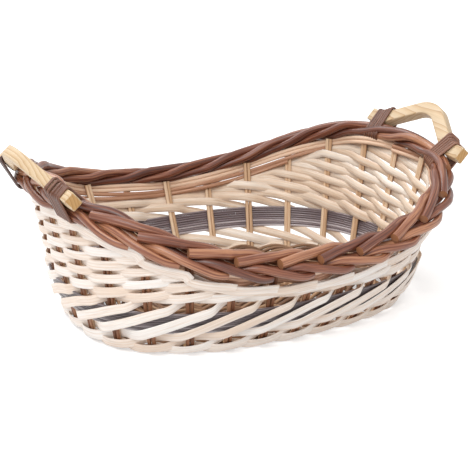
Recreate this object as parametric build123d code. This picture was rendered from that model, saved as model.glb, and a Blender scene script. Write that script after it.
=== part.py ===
from build123d import *
import bisect
import math
import os

# An oval garden trug of willow. It has a flat woven base, pairs of split stakes, and wide
# chips of split willow that are woven up and to the right. A band of thin rods lies under
# the long strokes of the chips, packing rods fill the low middle of each side, and a plaited
# border closes the rim. A bow of sawn wood is tied on with cane at each end.
# X runs along the basket, Y across it and Z up from the floor. The front faces -Y.
# Lengths are in millimetres.

# Outline of the wall at the foot, and along the middle of the border
FOOT_HALF_LENGTH = 163.0
FOOT_HALF_WIDTH = 118.0
FOOT_SQUARENESS = 2.55
RIM_HALF_LENGTH = 189.0
RIM_HALF_WIDTH = 158.0
RIM_SQUARENESS = 2.68
RIM_MID_HEIGHT = 85.5
RIM_END_HEIGHT = 137.2
DIP_POWER = 1.68
FLARE_POWER = 0.79
CLEARANCE = 0.3
WEAVE_CLEARANCE = 0.5

# Stakes stand in pairs. They are counted from the left end along the front, and stand a
# little closer along the front than along the back.
STAKE_COUNT = 26
STAKE_SHIFT_SHARE = 0.0156
STAKE_DRIFT_SHARE = 0.0192
STAKE_DRIFT_TURN = math.radians(16.5)
STAKE_ROD_WIDTH = 3.3
STAKE_ROD_DEPTH = 3.6
STAKE_FOOT_HEIGHT = 0.6
STAKE_SECTIONS = 6

# Chips: one starts at each stake, and passes one stake for each level that it climbs
CHIP_WIDTH = 9.6
CHIP_BACK_WIDTH = 6.6
CHIP_THICKNESS = 2.2
CHIP_TWIST = math.radians(38)
FOOT_ROW_HEIGHT = 6.2
SECOND_ROW_HEIGHT = 13.6
UPPER_ROW_MID_HEIGHT = 54.8
UPPER_ROW_END_HEIGHT = 50.0
UPPER_PITCH_MID = 5.6
UPPER_PITCH_END = 6.9
LIFT_POWER = 4.0
START_LEVEL = 0.66
FLOAT_START = 2
FLOAT_END = 5
STAKE_HOLD_SHARE = 0.16

# Band of thin rods between the stakes and the long strokes of the chips
BAND_ROD_COUNT = 6
BAND_ROD_DIAMETER = 2.9
BAND_ROD_PITCH = 3.2
BAND_BOTTOM = 25.4
BAND_STEPS_PER_STAKE = 2

# Packing rods between the chips and the border, in rows that get shorter downwards
PACKING_ROD_DIAMETER = 3.0
PACKING_PITCH = 3.2
PACKING_FRONT_SPANS = ((0, 13), (2, 10), (3, 9))
PACKING_BACK_SPANS = ((13, 26), (15, 23), (16, 22))

# Border: one rod for each stake, from its cut end in the middle of the top over the inner
# edge, under and out again to the outer edge. Each row of shares gives stakes passed, the
# place across the border and the place through it.
BORDER_HALF_WIDTH = 14.4
BORDER_HALF_THICKNESS = 8.2
BORDER_TILT = math.radians(40.8)
BORDER_ROD_DIAMETER = 7.2
BORDER_PATH_SHARES = (
    (0.0, 0.08, 1.08),
    (0.5, -0.37, 1.09),
    (1.0, -0.69, 0.85),
    (1.5, -1.01, 0.20),
    (2.0, -0.77, -0.83),
    (2.5, -0.40, -0.93),
    (3.0, 0.11, -0.96),
    (3.5, 0.35, 0.40),
    (4.0, 0.79, 0.57),
    (4.5, 1.00, -0.38),
    (4.8, 0.78, -0.91),
)

# Base: a flat mat of rounds under crossed sticks
MAT_THICKNESS = 4.7
MAT_POINTS = 32
CROSS_STICK_COUNT = 9
CROSS_STICK_SPACING = 33.0
CROSS_STICK_DIAMETER = 7.0
LONG_STICK_COUNT = 3
LONG_STICK_SPACING = 9.0
LONG_STICK_DIAMETER = 4.2
STICK_FIT = 0.3

# Bow handles, sawn from a board, and where each is tied across the rim
HANDLE_LENGTH = 161.0
HANDLE_FACE_WIDTH = 13.5
HANDLE_THICKNESS = 10.5
HANDLE_RISE = 29.0
HANDLE_LOW_HALF_SPAN = 59.0
HANDLE_TOP_HALF_SPAN = 10.0
HANDLE_LOW_RADIUS = 22.0
HANDLE_TOP_RADIUS = 34.0
HANDLE_EDGE_RADIUS = 3.0
RIGHT_TIES_Y = (-75.0, 34.0)
LEFT_TIES_Y = (-60.0, 51.0)
HANDLE_SEAT_RISE = -1.2

# Cane that ties each foot of a handle to the border. The weave below lies lower at a tie, all
# of the way near it and less further off, in shares of the space between two stakes.
CANE_DIAMETER = 3.3
CANE_TURNS = 6
CANE_PITCH = 4.0
KNOTS_PER_TURN = 12
POINTS_PER_ARC = 4
TIE_NEAR_SHARE = 0.5
TIE_FAR_SHARE = 1.0

# Small steps for measuring directions on the wall, in stakes and in height
STAKE_STEP_SHARE = 0.05
HEIGHT_STEP = 0.5
OVAL_STEPS = 6000
HALVINGS = 50
STRAIGHT_SHARE = 1e-9
UP = Vector(0, 0, 1)


def oval(half_length, half_width, squareness, angle):
    """A point of a rounded rectangle that swells like an oval."""
    c, s = math.cos(angle), math.sin(angle)
    x = math.copysign(abs(c) ** (2 / squareness), c) * half_length
    y = math.copysign(abs(s) ** (2 / squareness), s) * half_width
    return x, y


def rim_height(angle):
    """Height of the middle of the border, low at the sides and high at the ends."""
    rise = RIM_END_HEIGHT - RIM_MID_HEIGHT
    return RIM_MID_HEIGHT + rise * abs(math.cos(angle)) ** DIP_POWER


def wall(angle, height):
    """A point of the outer face of the wall."""
    share = (height / rim_height(angle)) ** FLARE_POWER
    foot_x, foot_y = oval(FOOT_HALF_LENGTH, FOOT_HALF_WIDTH, FOOT_SQUARENESS, angle)
    rim_x, rim_y = oval(RIM_HALF_LENGTH, RIM_HALF_WIDTH, RIM_SQUARENESS, angle)
    x = foot_x + (rim_x - foot_x) * share
    y = foot_y + (rim_y - foot_y) * share
    return Vector(x, y, height)


def measure_oval(height):
    """Angles round the wall at one height, from the left end, with the share of the way round."""
    angles = [2 * math.pi * i / OVAL_STEPS - math.pi for i in range(OVAL_STEPS + 1)]
    points = [wall(angle, height) for angle in angles]
    lengths = [0.0]
    for before, after in zip(points, points[1:]):
        lengths.append(lengths[-1] + (after - before).length)
    return angles, [length / lengths[-1] for length in lengths]


BAND_TOP = BAND_BOTTOM + BAND_ROD_COUNT * BAND_ROD_PITCH
OVAL_ANGLES, OVAL_SHARES = measure_oval((BAND_BOTTOM + BAND_TOP) / 2)


def stake_angle(number):
    """Angle of a stake on the ovals. A number between two whole ones is between two stakes."""
    turn = 2 * math.pi * number / STAKE_COUNT
    share = number / STAKE_COUNT + STAKE_SHIFT_SHARE
    share += STAKE_DRIFT_SHARE * math.cos(turn + STAKE_DRIFT_TURN)
    rounds = math.floor(share)
    share -= rounds
    i = max(bisect.bisect_right(OVAL_SHARES, share), 1)
    i = min(i, OVAL_STEPS)
    part = (share - OVAL_SHARES[i - 1]) / (OVAL_SHARES[i] - OVAL_SHARES[i - 1])
    angle = OVAL_ANGLES[i - 1] + (OVAL_ANGLES[i] - OVAL_ANGLES[i - 1]) * part
    return angle + 2 * math.pi * rounds


# How far the middle of the stakes lies inside the outer face of the wall, and where what
# passes outside or inside the stakes lies from their middle
STAKE_INSET = CHIP_THICKNESS + WEAVE_CLEARANCE + STAKE_ROD_DEPTH / 2
CHIP_DEPTH = STAKE_ROD_DEPTH / 2 + WEAVE_CLEARANCE + CHIP_THICKNESS / 2
BAND_DEPTH = STAKE_ROD_DEPTH / 2 + CLEARANCE + BAND_ROD_DIAMETER / 2
FLOAT_DEPTH = BAND_DEPTH + BAND_ROD_DIAMETER / 2 + CLEARANCE + CHIP_THICKNESS / 2
PACKING_DEPTH = STAKE_ROD_DEPTH / 2 + WEAVE_CLEARANCE + PACKING_ROD_DIAMETER / 2


def wall_frame(number, height):
    """Point in the middle of the stakes' layer, with the directions ahead, up and out there."""
    angle = stake_angle(number)
    face = wall(angle, height)
    after = wall(stake_angle(number + STAKE_STEP_SHARE), height)
    before = wall(stake_angle(number - STAKE_STEP_SHARE), height)
    ahead = (after - before).normalized()
    rise = wall(angle, height + HEIGHT_STEP) - face
    out = ahead.cross(rise).normalized()
    up = out.cross(ahead)
    return face - out * STAKE_INSET, ahead, up, out


def wall_point(number, height, depth):
    """A point that lies depth outside the middle of the stakes' layer."""
    middle, _, _, out = wall_frame(number, height)
    return middle + out * depth


def border_frame(number):
    """Middle of the border, with the directions ahead, across to the outer edge, and through."""
    angle = stake_angle(number)
    after = stake_angle(number + STAKE_STEP_SHARE)
    before = stake_angle(number - STAKE_STEP_SHARE)
    ahead = (wall(after, rim_height(after)) - wall(before, rim_height(before))).normalized()
    out = ahead.cross(UP).normalized()
    across = out * math.cos(BORDER_TILT) - UP * math.sin(BORDER_TILT)
    through = out * math.sin(BORDER_TILT) + UP * math.cos(BORDER_TILT)
    return wall(angle, rim_height(angle)), ahead, across, through


def rim_number(y, end):
    """The place along the border, counted in stakes, at a distance across one end."""
    share = (abs(y) / RIM_HALF_WIDTH) ** (RIM_SQUARENESS / 2)
    wanted = math.copysign(math.asin(share), y)
    if end < 0:
        wanted = -math.pi - wanted
    low, high = -STAKE_COUNT / 4, STAKE_COUNT * 3 / 4
    for _ in range(HALVINGS):
        middle = (low + high) / 2
        if stake_angle(middle) < wanted:
            low = middle
        else:
            high = middle
    return low


TIE_NUMBERS = [
    rim_number(y, end) for ties_y, end in ((RIGHT_TIES_Y, 1), (LEFT_TIES_Y, -1)) for y in ties_y
]

# Height from the middle of the border down to its underside, and from there to below the cane
BORDER_DROP = 1 / math.hypot(
    math.cos(BORDER_TILT) / BORDER_HALF_THICKNESS,
    math.sin(BORDER_TILT) / BORDER_HALF_WIDTH,
)
CANE_REACH = BORDER_HALF_THICKNESS + CANE_DIAMETER + 2 * CLEARANCE
TIE_DROP = CANE_REACH / math.cos(BORDER_TILT) - BORDER_DROP


def weave_top(number):
    """Height of the top of the weave: the underside of the border, or lower at a tie."""
    half = STAKE_COUNT / 2
    gaps = [abs((number - tie + half) % STAKE_COUNT - half) for tie in TIE_NUMBERS]
    share = (TIE_FAR_SHARE - min(gaps)) / (TIE_FAR_SHARE - TIE_NEAR_SHARE)
    underside = rim_height(stake_angle(number)) - BORDER_DROP
    return underside - TIE_DROP * min(max(share, 0), 1)


def directions(points, closed=False):
    """Direction of travel at each point, from its two neighbours."""
    last = len(points) - 1
    found = []
    for i in range(len(points)):
        before = points[i - 1] if closed or i > 0 else points[0]
        after = points[(i + 1) % len(points)] if closed or i < last else points[last]
        found.append((after - before).normalized())
    return found


def two_arcs(start, start_way, end, end_way):
    """Two arcs from start to end that leave and arrive in the given directions."""
    chord = end - start
    both = start_way + end_way
    turn = 1 - start_way.dot(end_way)
    along = chord.dot(both)
    reach = chord.dot(chord) / along
    if turn > STRAIGHT_SHARE:
        reach = (math.sqrt(along**2 + 2 * turn * chord.dot(chord)) - along) / (2 * turn)
    first = start + start_way * reach
    second = end - end_way * reach
    middle = (first + second) * 0.5
    way = (second - first).normalized()
    return [
        Edge.make_tangent_arc(start, start_way, middle),
        Edge.make_tangent_arc(middle, way, end),
    ]


def arc_path(points, ways, closed=False):
    """A smooth line of arcs through the points, in the given direction at each."""
    edges = []
    for i in range(len(points) if closed else len(points) - 1):
        j = (i + 1) % len(points)
        edges += two_arcs(points[i], ways[i], points[j], ways[j])
    return Wire(edges)


def round_rod(points, diameter):
    """A round rod that follows a smooth line of arcs through the points."""
    ways = directions(points)
    start = Plane(origin=points[0], z_dir=ways[0])
    return sweep(start * Circle(diameter / 2), path=arc_path(points, ways))


def stake_pair(number):
    """Two split rods side by side, from the foot to the underside of the border."""
    half_step = (STAKE_ROD_WIDTH + CLEARANCE) / 2
    top = weave_top(number)
    rods = []
    for side in (-half_step, half_step):
        sections = []
        for i in range(STAKE_SECTIONS):
            share = i / (STAKE_SECTIONS - 1)
            height = STAKE_FOOT_HEIGHT + (top - STAKE_FOOT_HEIGHT) * share
            middle, ahead, up, out = wall_frame(number, height)
            plane = Plane(origin=middle + ahead * side, x_dir=ahead, z_dir=up)
            shape = plane * Ellipse(STAKE_ROD_WIDTH / 2, STAKE_ROD_DEPTH / 2)
            sections.append(shape.wire())
        rods.append(Solid.make_loft(sections, ruled=True))
    return rods


def end_share(number):
    """How near a place is to the high ends of the basket, from 0 at mid-side to 1."""
    return abs(math.cos(stake_angle(number))) ** LIFT_POWER


def upper_row(number):
    rise = UPPER_ROW_END_HEIGHT - UPPER_ROW_MID_HEIGHT
    return UPPER_ROW_MID_HEIGHT + rise * end_share(number)


def chip_height(number, level):
    """Height of the middle of a chip that has climbed some levels."""
    upper = upper_row(number)
    pitch = UPPER_PITCH_MID + (UPPER_PITCH_END - UPPER_PITCH_MID) * end_share(number)
    places = [
        (0, FOOT_ROW_HEIGHT),
        (1, FOOT_ROW_HEIGHT),
        (FLOAT_START, SECOND_ROW_HEIGHT),
        (FLOAT_START + 0.5, BAND_BOTTOM - CHIP_WIDTH / 2 - CLEARANCE),
        (FLOAT_END - 0.5, BAND_TOP + CHIP_WIDTH / 2 + CLEARANCE),
        (FLOAT_END, upper),
        (STAKE_COUNT, upper + pitch * (STAKE_COUNT - FLOAT_END)),
    ]
    for (start, low), (end, high) in zip(places, places[1:]):
        if level <= end:
            return low + (high - low) * (level - start) / (end - start)


def stake_depth(level):
    """How far outside the stakes a chip lies where it passes one: minus is inside."""
    if FLOAT_START < level < FLOAT_END:
        return FLOAT_DEPTH
    below = level <= FLOAT_START
    outside = level % 2 == (1 if below else 0)
    return CHIP_DEPTH if outside else -CHIP_DEPTH


def packing_rows(number):
    """How many rows of packing rods cross this place."""
    place = number % STAKE_COUNT
    spans = PACKING_FRONT_SPANS + PACKING_BACK_SPANS
    return sum(start <= place <= end for start, end in spans)


def chip_limit(number):
    """Height above which no chip climbs, under the packing rods."""
    packing = packing_rows(number) * PACKING_PITCH
    return weave_top(number) - packing - CHIP_WIDTH / 2 - CLEARANCE


def chip_stations(first):
    """Level, depth and twist along the chip that starts before stake number first."""
    stations = [(START_LEVEL, CHIP_DEPTH * (2 * START_LEVEL - 1), 0.0)]
    level = 1
    while chip_height(first + level, level) < chip_limit(first + level):
        here, after = stake_depth(level), stake_depth(level + 1)
        beside_float = FLOAT_START <= level < FLOAT_END
        middle = max(here, after) if beside_float else (here + after) / 2
        stations.append((level - STAKE_HOLD_SHARE, here, 0.0))
        stations.append((level + STAKE_HOLD_SHARE, here, 0.0))
        stations.append((level + 0.5, middle, 0.0 if beside_float else CHIP_TWIST))
        level += 1
    return stations


def chip_place(first, level):
    """Place in stakes and height of the middle of a chip, which stays under the packing rods."""
    number = first + level
    return number, min(chip_height(number, level), chip_limit(number))


def chip(first):
    """A split chip, flat outside and rounded inside, woven up and to the right."""
    stations = chip_stations(first)
    centres = [wall_point(*chip_place(first, level), depth) for level, depth, _ in stations]
    sections = []
    for (level, _, twist), centre, way in zip(stations, centres, directions(centres)):
        _, _, up, _ = wall_frame(*chip_place(first, level))
        rise = (up - way * up.dot(way)).normalized()
        face = way.cross(rise)
        high = rise * math.cos(twist) - face * math.sin(twist)
        front = face * math.cos(twist) + rise * math.sin(twist)
        corners = []
        for width, side in ((CHIP_WIDTH, 1), (CHIP_BACK_WIDTH, -1)):
            edge = centre + front * (side * CHIP_THICKNESS / 2)
            corners += [edge - high * (width / 2), edge + high * (width / 2)]
        sections.append(Wire.make_polygon([corners[0], corners[1], corners[3], corners[2]]))
    return Solid.make_loft(sections, ruled=True)


def band_rod(row):
    """A thin rod once round the outside of the stakes, its two ends nearly meeting."""
    height = BAND_BOTTOM + BAND_ROD_PITCH * (row + 0.5)
    first = STAKE_COUNT * row / BAND_ROD_COUNT
    steps = STAKE_COUNT * BAND_STEPS_PER_STAKE
    ends_gap = BAND_ROD_DIAMETER / CROSS_STICK_SPACING
    points = []
    for i in range(steps + 1):
        number = first + (STAKE_COUNT - ends_gap) * i / steps
        points.append(wall_point(number, height, BAND_DEPTH))
    return round_rod(points, BAND_ROD_DIAMETER)


def packing_rod(row, start, end):
    """A rod that passes in and out of the stakes, in a row under the border."""
    points = []
    for i in range(2 * (end - start) + 1):
        number = start + i / 2
        height = weave_top(number) - PACKING_PITCH * (row + 0.5)
        side = 0
        if i % 2 == 0:
            side = 1 if (i // 2 + row) % 2 == 0 else -1
        points.append(wall_point(number, height, PACKING_DEPTH * side))
    return round_rod(points, PACKING_ROD_DIAMETER)


def border_rod(first):
    """One plaited rod of the border, which starts beside stake number first."""
    across_reach = BORDER_HALF_WIDTH - BORDER_ROD_DIAMETER / 2
    through_reach = BORDER_HALF_THICKNESS - BORDER_ROD_DIAMETER / 2
    points = []
    for passed, across_share, through_share in BORDER_PATH_SHARES:
        middle, _, across, through = border_frame(first + passed)
        offset = across * (across_share * across_reach)
        offset += through * (through_share * through_reach)
        points.append(middle + offset)
    return round_rod(points, BORDER_ROD_DIAMETER)


# The mat ends at the feet of the stakes, and the sticks on it at the innermost chips
MAT_INSET = STAKE_INSET + STAKE_ROD_DEPTH / 2 + CLEARANCE
MAT_HALF_LENGTH = wall(0, STAKE_FOOT_HEIGHT).X - MAT_INSET
MAT_HALF_WIDTH = wall(math.pi / 2, STAKE_FOOT_HEIGHT).Y - MAT_INSET
STICK_INSET = STAKE_INSET + CHIP_DEPTH + CHIP_THICKNESS / 2 + CLEARANCE
STICK_HALF_LENGTH = FOOT_HALF_LENGTH - STICK_INSET
STICK_HALF_WIDTH = FOOT_HALF_WIDTH - STICK_INSET
STICK_HEIGHT = MAT_THICKNESS + CLEARANCE + CROSS_STICK_DIAMETER / 2


def base_mat():
    """The woven rounds of the base, as one flat plate that rests on the floor."""
    angles = [2 * math.pi * (i + 0.5) / MAT_POINTS for i in range(MAT_POINTS)]
    outline = [
        Vector(*oval(MAT_HALF_LENGTH, MAT_HALF_WIDTH, FOOT_SQUARENESS, angle)) for angle in angles
    ]
    edge = arc_path(outline, directions(outline, closed=True), closed=True)
    return extrude(Face(edge), MAT_THICKNESS, dir=UP)


def stick_reach(half_along, half_across, place):
    """Half the length of a stick that lies at a place across the mat."""
    share = 1 - (abs(place) / half_across) ** FOOT_SQUARENESS
    return half_along * share ** (1 / FOOT_SQUARENESS)


def base_sticks():
    """Cross sticks, with long sticks pushed through holes in them."""
    sticks = []
    long_places = [
        LONG_STICK_SPACING * (i - (LONG_STICK_COUNT - 1) / 2) for i in range(LONG_STICK_COUNT)
    ]
    hole = LONG_STICK_DIAMETER / 2 + STICK_FIT
    for i in range(CROSS_STICK_COUNT):
        x = CROSS_STICK_SPACING * (i - (CROSS_STICK_COUNT - 1) / 2)
        reach = stick_reach(STICK_HALF_WIDTH, STICK_HALF_LENGTH, x)
        ends = Plane(origin=(x, 0, STICK_HEIGHT), z_dir=(0, 1, 0))
        stick = ends * Cylinder(CROSS_STICK_DIAMETER / 2, 2 * reach)
        for y in long_places:
            through = Plane(origin=(x, y, STICK_HEIGHT), z_dir=(1, 0, 0))
            stick -= through * Cylinder(hole, 2 * CROSS_STICK_DIAMETER)
        sticks.append(stick)
    for y in long_places:
        reach = stick_reach(STICK_HALF_LENGTH, STICK_HALF_WIDTH, y)
        ends = Plane(origin=(0, y, STICK_HEIGHT), z_dir=(1, 0, 0))
        sticks.append(ends * Cylinder(LONG_STICK_DIAMETER / 2, 2 * reach))
    return sticks


# How far the top of the border's rods lies from its middle, and the handle's seat on them
BORDER_CROWN = BORDER_ROD_DIAMETER / 2
BORDER_CROWN += max(row[2] for row in BORDER_PATH_SHARES) * (BORDER_HALF_THICKNESS - BORDER_CROWN)


def handle_plane(ties_y, end):
    """The plane of a handle's board, with its middle between the two ties."""
    first, _, _, _ = border_frame(rim_number(ties_y[0], end))
    second, _, _, _ = border_frame(rim_number(ties_y[1], end))
    chord = (second - first).normalized() * end
    out = chord.cross(UP).normalized()
    lean = out * math.sin(BORDER_TILT) + UP * math.cos(BORDER_TILT)
    board = chord.cross(lean).normalized()
    lean = board.cross(chord)
    seat = BORDER_CROWN + HANDLE_SEAT_RISE + HANDLE_FACE_WIDTH / 2
    return Plane(origin=(first + second) * 0.5 + lean * seat, x_dir=chord, z_dir=board)


def handle(ties_y, end):
    """A bow with two straight feet, sawn from a board and rounded along its edges."""
    half = HANDLE_LENGTH / 2
    corners = [
        (-half, 0),
        (-HANDLE_LOW_HALF_SPAN, 0),
        (-HANDLE_TOP_HALF_SPAN, HANDLE_RISE),
        (HANDLE_TOP_HALF_SPAN, HANDLE_RISE),
        (HANDLE_LOW_HALF_SPAN, 0),
        (half, 0),
    ]
    radii = [HANDLE_LOW_RADIUS, HANDLE_TOP_RADIUS, HANDLE_TOP_RADIUS, HANDLE_LOW_RADIUS]
    line = FilletPolyline(*corners, radius=radii)
    start = Plane(origin=line @ 0, x_dir=(0, 1, 0), z_dir=line % 0)
    section = RectangleRounded(HANDLE_FACE_WIDTH, HANDLE_THICKNESS, HANDLE_EDGE_RADIUS)
    return handle_plane(ties_y, end) * sweep(start * section, path=line)


def bow_place(run):
    """Height and slope of a handle's middle line near its feet, at a place along its chord."""
    slope = math.atan2(HANDLE_RISE, HANDLE_LOW_HALF_SPAN - HANDLE_TOP_HALF_SPAN)
    bend_start = HANDLE_LOW_HALF_SPAN + HANDLE_LOW_RADIUS * math.tan(slope / 2)
    inside = max(bend_start - abs(run), 0)
    if inside < HANDLE_LOW_RADIUS * math.sin(slope):
        turn = math.asin(inside / HANDLE_LOW_RADIUS)
        return HANDLE_LOW_RADIUS * (1 - math.cos(turn)), turn
    return (HANDLE_LOW_HALF_SPAN - abs(run)) * math.tan(slope), slope


def least_gap(path, turn_points):
    """Least gap between the turns of a winding, measured on points along its middle line."""
    points = []
    for edge in path.edges():
        for i in range(POINTS_PER_ARC):
            point = edge.position_at(i / POINTS_PER_ARC)
            points.append((point.X, point.Y, point.Z))
    gaps = []
    for i, point in enumerate(points):
        gaps += [math.dist(point, other) for other in points[i + turn_points // 2:]]
    return min(gaps) - CANE_DIAMETER


def binding(tie_y, ties_y, end):
    """One length of cane, wound round the border and the foot of a handle."""
    number = rim_number(tie_y, end)
    middle, ahead, across, through = border_frame(number)
    after, _, _, _ = border_frame(number + STAKE_STEP_SHARE)
    stake_gap = (after - middle).length / STAKE_STEP_SHARE
    board = handle_plane(ties_y, end)
    board_reach = HANDLE_THICKNESS / 2 - HANDLE_EDGE_RADIUS
    across_reach = BORDER_HALF_WIDTH - BORDER_ROD_DIAMETER / 2
    through_reach = BORDER_HALF_THICKNESS - BORDER_ROD_DIAMETER / 2
    knots, ways = [], []
    for i in range(CANE_TURNS * KNOTS_PER_TURN + 1):
        turn = 2 * math.pi * i / KNOTS_PER_TURN
        normal = across * math.cos(turn) + through * math.sin(turn)
        along = CANE_PITCH * (i / KNOTS_PER_TURN - CANE_TURNS / 2)
        rim, _, _, _ = border_frame(number + along / stake_gap)
        rounds = []
        for _, across_share, through_share in BORDER_PATH_SHARES:
            place = across * (across_share * across_reach)
            place += through * (through_share * through_reach)
            rounds.append((rim + place, BORDER_ROD_DIAMETER / 2))
        run = (along - (board.origin - middle).dot(ahead)) / board.x_dir.dot(ahead)
        rise, slope = bow_place(run)
        lean_reach = HANDLE_FACE_WIDTH / 2 / math.cos(slope) - HANDLE_EDGE_RADIUS
        for lean_side in (-1, 1):
            for board_side in (-1, 1):
                edge = board.origin + board.y_dir * (rise + lean_side * lean_reach)
                edge += board.z_dir * (board_side * board_reach)
                run = (along - (edge - middle).dot(ahead)) / board.x_dir.dot(ahead)
                rounds.append((edge + board.x_dir * run, HANDLE_EDGE_RADIUS))
        place, radius = max(rounds, key=lambda item: item[0].dot(normal) + item[1])
        knot = place + normal * (radius + CLEARANCE + CANE_DIAMETER / 2)
        knots.append(knot + ahead * (along - (knot - middle).dot(ahead)))
        ways.append(through * math.cos(turn) - across * math.sin(turn))
    for i, way in enumerate(directions(knots)):
        ways[i] = (ways[i] + ahead * way.dot(ahead)).normalized()
    path = arc_path(knots, ways)
    gap = least_gap(path, 2 * KNOTS_PER_TURN * POINTS_PER_ARC)
    print(f"cane at y {tie_y:.0f}: least gap between its turns {gap:.2f} mm")
    start = Plane(origin=knots[0], z_dir=ways[0])
    return sweep(start * Circle(CANE_DIAMETER / 2), path=path)


parts = {}
for k in range(STAKE_COUNT):
    parts[f"stake_pair_{k + 1:02d}"] = stake_pair(k)
    parts[f"border_rod_{k + 1:02d}"] = [border_rod(k)]
parts["willow_chips"] = [chip(k) for k in range(STAKE_COUNT)]
parts["band_rods"] = [band_rod(row) for row in range(BAND_ROD_COUNT)]
parts["packing_rods"] = [
    packing_rod(row, start, end)
    for spans in (PACKING_FRONT_SPANS, PACKING_BACK_SPANS)
    for row, (start, end) in enumerate(spans)
]
parts["base_mat"] = [base_mat()]
parts["base_sticks"] = base_sticks()
parts["handle_right"] = [handle(RIGHT_TIES_Y, 1)]
parts["handle_left"] = [handle(LEFT_TIES_Y, -1)]
parts["handle_bindings"] = [
    binding(y, ties_y, end)
    for ties_y, end in ((RIGHT_TIES_Y, 1), (LEFT_TIES_Y, -1))
    for y in ties_y
]

os.makedirs("parts", exist_ok=True)
for name, solids in parts.items():
    shape = solids[0] if len(solids) == 1 else Compound(children=list(solids))
    export_step(shape, f"parts/{name}.step")
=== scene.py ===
import bisect
import math
import random

import bpy
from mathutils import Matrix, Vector


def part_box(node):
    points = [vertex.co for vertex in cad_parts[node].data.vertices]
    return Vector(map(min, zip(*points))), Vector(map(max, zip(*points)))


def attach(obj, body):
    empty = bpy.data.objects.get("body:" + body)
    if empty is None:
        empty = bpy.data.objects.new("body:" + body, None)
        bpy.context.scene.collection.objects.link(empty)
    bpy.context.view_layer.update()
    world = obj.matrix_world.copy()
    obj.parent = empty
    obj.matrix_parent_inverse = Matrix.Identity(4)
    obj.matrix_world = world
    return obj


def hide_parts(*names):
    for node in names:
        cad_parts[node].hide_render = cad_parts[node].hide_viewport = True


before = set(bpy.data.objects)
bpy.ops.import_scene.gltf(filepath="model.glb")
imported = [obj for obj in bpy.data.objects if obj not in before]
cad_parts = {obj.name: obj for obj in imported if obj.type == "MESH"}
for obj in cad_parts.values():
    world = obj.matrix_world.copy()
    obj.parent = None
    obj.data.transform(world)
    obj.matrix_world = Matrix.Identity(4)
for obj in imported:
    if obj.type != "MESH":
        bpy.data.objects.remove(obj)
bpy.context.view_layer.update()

# Sizes of the basket are in millimetres, and turn to metres where a mesh is made.

# Base sticks: nine willow sticks lie across the basket, and three thinner ones are pushed
# through holes bored in them. They keep their bark and were cut to length with shears.

MM = 0.001
PER_METRE = 1000
STICK_LEVEL = 6.6
STICK_STEPS = 20
STICK_OVAL_MARGIN_LENGTH = 1.0
STICK_OVAL_MARGIN_WIDTH = 0.5
CROSS_STICK_COUNT = 9
CROSS_STICK_SPACING = 33.0
CROSS_STICK_RADIUS = 3.0
LONG_STICK_PLACES = (-9.0, 0.0, 9.0)
LONG_STICK_RADIUS = 2.1
FOOT_SQUARENESS = 2.55
STREAK_STOPS = (0.3, 0.5, 0.7)
FACE_BLEND_DEPTH = 0.3
# Willow fibres are finer than this. They are drawn as wide as they need to be to show.
FIBRE_LENGTH = 18.0
FIBRE_WIDTH = 0.5
FIBRE_DEPTH = 0.12
FIBRE_LIGHT_SHARES = (0.82, 1.06)
WOOD_IOR = 1.5
COAT_ROUGHNESS = 0.25
GRAIN_START_RANGE = 1000
SHARP_EDGE = math.radians(50)
UP = Vector((0, 0, 1))
ALONG = Vector((1, 0, 0))
ACROSS = Vector((0, 1, 0))


def linear(code):
    """The linear colour of an sRGB hex value."""
    values = [int(code[i:i + 2], 16) / 255 for i in (1, 3, 5)]
    values = [v / 12.92 if v <= 0.04045 else ((v + 0.055) / 1.055) ** 2.4 for v in values]
    return (*values, 1.0)


def empty_tree(owner):
    """The node tree of a material or a world, with nothing in it."""
    owner.use_nodes = True
    owner.node_tree.nodes.clear()
    return owner.node_tree


def add(tree, kind, settings=None, links=None):
    """Adds a node with its settings, and links outputs of other nodes to its sockets."""
    node = tree.nodes.new(kind)
    for key, value in (settings or {}).items():
        if key == "stops":
            ramp = node.color_ramp
            while len(ramp.elements) < len(value):
                ramp.elements.new(0.5)
            for element, (place, colour) in zip(ramp.elements, value):
                element.position = place
                element.color = colour
        elif isinstance(key, int) or key in node.inputs:
            node.inputs[key].default_value = value
        else:
            setattr(node, key, value)
    for key, output in (links or {}).items():
        tree.links.new(output, node.inputs[key])
    return node


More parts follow.
